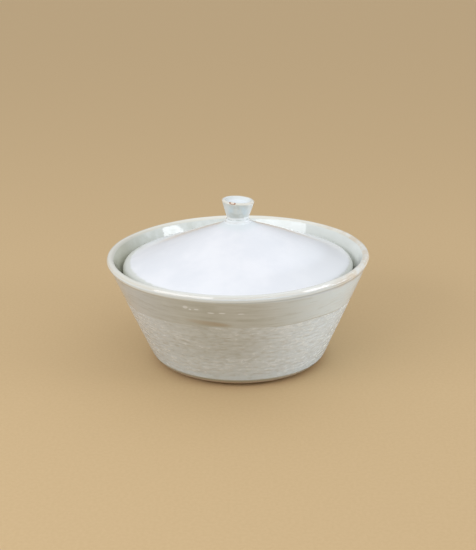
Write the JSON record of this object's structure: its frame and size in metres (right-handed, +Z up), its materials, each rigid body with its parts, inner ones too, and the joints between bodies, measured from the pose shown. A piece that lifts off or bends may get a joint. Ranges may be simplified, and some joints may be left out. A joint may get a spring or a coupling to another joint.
{
  "type": "lidded bowl",
  "caption": "Round stoneware serving bowl with flared sides, a turned foot ring, and a coned lid with a flared knob that drops onto a ledge inside the rim.",
  "frame": {"origin": "centre of the foot ring's underside, on the surface that the bowl stands on", "axes": "+Z up along the axis that the bowl, lid and knob are turned about; +Y away from the picture's camera"},
  "size_m": [0.215, 0.215, 0.1345],
  "materials": {
    "bowl_glaze": "glossy grey-green glaze over brushed slip",
    "lid_glaze": "glossy bluish white glaze",
    "knob_glaze": "glossy pale grey-green glaze"
  },
  "bodies": {
    "bowl": {"bowl": "bowl_glaze"},
    "lid": {"lid": "lid_glaze", "knob": "knob_glaze"}
  },
  "joints": [
    {"name": "lid_lift", "type": "slide", "parent": "bowl", "child": "lid", "axis": [0, 0, 1], "range_m": [0, 0.12]}
  ]
}
